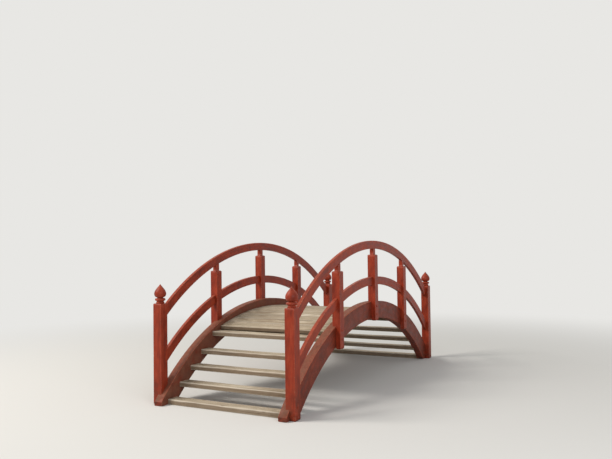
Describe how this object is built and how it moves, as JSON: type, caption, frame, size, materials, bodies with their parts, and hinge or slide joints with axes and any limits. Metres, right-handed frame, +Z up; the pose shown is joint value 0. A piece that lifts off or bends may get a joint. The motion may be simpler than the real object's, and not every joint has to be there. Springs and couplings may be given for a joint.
{
  "type": "moon bridge",
  "caption": "Small arched timber garden footbridge with open steps, boarded deck, curved rails and turned finials on square end posts.",
  "frame": {"origin": "middle of the bridge's plan, on the ground that its stringers and end posts stand on", "axes": "+X along the bridge towards its far end, +Y towards its left side, +Z up"},
  "size_m": [3.97, 1.644, 1.615],
  "materials": {
    "painted_timber": "weathered gloss oxide red paint",
    "painted_finial": "weathered gloss oxide red paint, turned",
    "bare_timber": "bare, weathered grey",
    "bearer_timber": "bare, sawn",
    "fixings": "bolt heads painted over, nail heads rusted"
  },
  "bodies": {
    "root": {"stringer_left": "painted_timber", "handrail_left": "painted_timber", "midrail_left": "painted_timber", "ledger_left": "bearer_timber", "stringer_right": "painted_timber", "handrail_right": "painted_timber", "midrail_right": "painted_timber", "ledger_right": "bearer_timber", "newel_near_left": "painted_timber", "finial_near_left": "painted_finial", "newel_near_right": "painted_timber", "finial_near_right": "painted_finial", "newel_far_left": "painted_timber", "finial_far_left": "painted_finial", "newel_far_right": "painted_timber", "finial_far_right": "painted_finial", "post_left_near": "painted_timber", "post_left_middle": "painted_timber", "post_left_far": "painted_timber", "post_right_near": "painted_timber", "post_right_middle": "painted_timber", "post_right_far": "painted_timber", "tread_near_1": "bare_timber", "tread_near_2": "bare_timber", "tread_near_3": "bare_timber", "tread_near_4": "bare_timber", "tread_near_5": "bare_timber", "tread_far_1": "bare_timber", "tread_far_2": "bare_timber", "tread_far_3": "bare_timber", "tread_far_4": "bare_timber", "tread_far_5": "bare_timber", "deck_board_01": "bare_timber", "deck_board_02": "bare_timber", "deck_board_03": "bare_timber", "deck_board_04": "bare_timber", "deck_board_05": "bare_timber", "deck_board_06": "bare_timber", "deck_board_07": "bare_timber", "deck_board_08": "bare_timber", "deck_board_09": "bare_timber", "deck_board_10": "bare_timber", "deck_board_11": "bare_timber", "deck_board_12": "bare_timber", "deck_board_13": "bare_timber", "deck_board_14": "bare_timber", "cross_tie_near": "bearer_timber", "cross_tie_middle": "bearer_timber", "cross_tie_far": "bearer_timber"}
  },
  "joints": []
}
